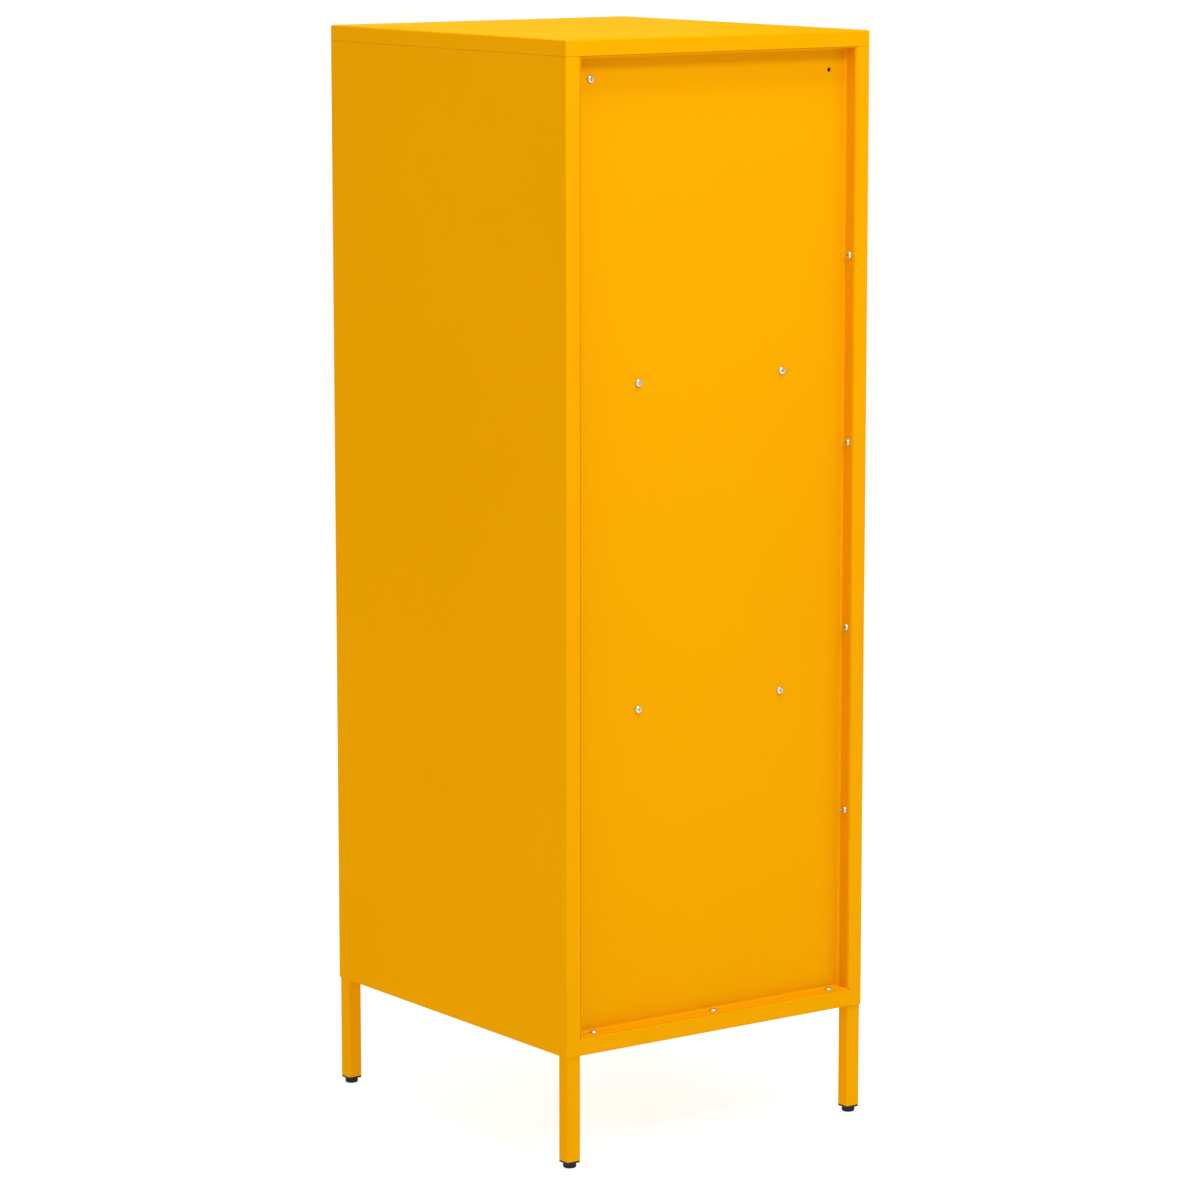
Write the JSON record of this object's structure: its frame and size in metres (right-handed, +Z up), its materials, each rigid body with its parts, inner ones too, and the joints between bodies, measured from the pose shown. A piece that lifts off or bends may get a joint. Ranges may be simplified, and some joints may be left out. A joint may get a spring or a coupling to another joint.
{
  "type": "mail locker",
  "caption": "Tall folded-steel mail locker on four square legs, with stacked hinged doors, letter flaps and cam locks.",
  "frame": {"origin": "on the floor, under the middle of the cabinet", "axes": "+Z up; the doors face -Y; the screwed back panel faces +Y; X runs across the width"},
  "size_m": [0.35, 0.39, 1.045],
  "materials": {
    "powder_coat": "yellow powder coat, satin",
    "zinc_steel": "bright zinc plate",
    "chrome": "polished nickel chrome",
    "card_frame": "satin anodised",
    "black_plastic": "moulded, fine texture",
    "nylon": "natural nylon",
    "rubber": "soft black rubber"
  },
  "bodies": {
    "cabinet": {"top_cap": "powder_coat", "side_panel_left": "powder_coat", "side_panel_right": "powder_coat", "back_panel": "powder_coat", "bottom_panel": "powder_coat", "rear_bottom_rail": "powder_coat", "rear_header": "powder_coat", "front_header": "powder_coat", "shelf_lower": "powder_coat", "shelf_upper": "powder_coat", "leg_front_left": "powder_coat", "leg_front_right": "powder_coat", "leg_rear_left": "powder_coat", "leg_rear_right": "powder_coat", "leg_plug_front_left": "black_plastic", "leg_plug_front_right": "black_plastic", "leg_plug_rear_left": "black_plastic", "leg_plug_rear_right": "black_plastic", "shelf_screws": "zinc_steel", "header_screw": "zinc_steel", "wall_screws": "zinc_steel", "ledge_screws": "zinc_steel", "cap_screws": "zinc_steel", "leg_bolts": "zinc_steel", "cap_nuts": "zinc_steel", "leg_nuts": "zinc_steel", "hinge_pins": "zinc_steel", "door_buffers": "rubber"},
    "door_lower": {"door_lower": "powder_coat", "door_bushes_lower": "nylon", "flap_pin_lower": "zinc_steel", "lock_body_lower": "chrome", "lock_nut_lower": "zinc_steel", "card_holder_lower": "card_frame"},
    "flap_lower": {"flap_lower": "powder_coat"},
    "lock_lower": {"lock_plug_lower": "chrome", "lock_cam_lower": "zinc_steel"},
    "door_middle": {"door_middle": "powder_coat", "door_bushes_middle": "nylon", "flap_pin_middle": "zinc_steel", "lock_body_middle": "chrome", "lock_nut_middle": "zinc_steel", "card_holder_middle": "card_frame"},
    "flap_middle": {"flap_middle": "powder_coat"},
    "lock_middle": {"lock_plug_middle": "chrome", "lock_cam_middle": "zinc_steel"},
    "door_upper": {"door_upper": "powder_coat", "door_bushes_upper": "nylon", "flap_pin_upper": "zinc_steel", "lock_body_upper": "chrome", "lock_nut_upper": "zinc_steel", "card_holder_upper": "card_frame"},
    "flap_upper": {"flap_upper": "powder_coat"},
    "lock_upper": {"lock_plug_upper": "chrome", "lock_cam_upper": "zinc_steel"},
    "foot_front_left": {"foot_front_left": "black_plastic"},
    "foot_front_right": {"foot_front_right": "black_plastic"},
    "foot_rear_left": {"foot_rear_left": "black_plastic"},
    "foot_rear_right": {"foot_rear_right": "black_plastic"}
  },
  "joints": [
    {"name": "door_lower_hinge", "type": "hinge", "parent": "cabinet", "child": "door_lower", "pos_m": [-0.145, -0.185, 0.2695], "axis": [0, 0, -1], "range_deg": [0, 110]},
    {"name": "flap_lower_hinge", "type": "hinge", "parent": "door_lower", "child": "flap_lower", "pos_m": [0, -0.1924, 0.37], "axis": [-1, 0, 0], "range_deg": [0, 85]},
    {"name": "lock_lower_turn", "type": "hinge", "parent": "door_lower", "child": "lock_lower", "pos_m": [0.131, -0.19, 0.2695], "axis": [0, -1, 0], "range_deg": [0, 90]},
    {"name": "door_middle_hinge", "type": "hinge", "parent": "cabinet", "child": "door_middle", "pos_m": [-0.145, -0.185, 0.5745], "axis": [0, 0, -1], "range_deg": [0, 110]},
    {"name": "flap_middle_hinge", "type": "hinge", "parent": "door_middle", "child": "flap_middle", "pos_m": [0, -0.1924, 0.675], "axis": [-1, 0, 0], "range_deg": [0, 85]},
    {"name": "lock_middle_turn", "type": "hinge", "parent": "door_middle", "child": "lock_middle", "pos_m": [0.131, -0.19, 0.5745], "axis": [0, -1, 0], "range_deg": [0, 90]},
    {"name": "door_upper_hinge", "type": "hinge", "parent": "cabinet", "child": "door_upper", "pos_m": [-0.145, -0.185, 0.8795], "axis": [0, 0, -1], "range_deg": [0, 110]},
    {"name": "flap_upper_hinge", "type": "hinge", "parent": "door_upper", "child": "flap_upper", "pos_m": [0, -0.1924, 0.98], "axis": [-1, 0, 0], "range_deg": [0, 85]},
    {"name": "lock_upper_turn", "type": "hinge", "parent": "door_upper", "child": "lock_upper", "pos_m": [0.131, -0.19, 0.8795], "axis": [0, -1, 0], "range_deg": [0, 90]},
    {"name": "foot_front_left_level", "type": "slide", "parent": "cabinet", "child": "foot_front_left", "axis": [0, 0, -1], "range_m": [0, 0.01]},
    {"name": "foot_front_right_level", "type": "slide", "parent": "cabinet", "child": "foot_front_right", "axis": [0, 0, -1], "range_m": [0, 0.01]},
    {"name": "foot_rear_left_level", "type": "slide", "parent": "cabinet", "child": "foot_rear_left", "axis": [0, 0, -1], "range_m": [0, 0.01]},
    {"name": "foot_rear_right_level", "type": "slide", "parent": "cabinet", "child": "foot_rear_right", "axis": [0, 0, -1], "range_m": [0, 0.01]}
  ]
}
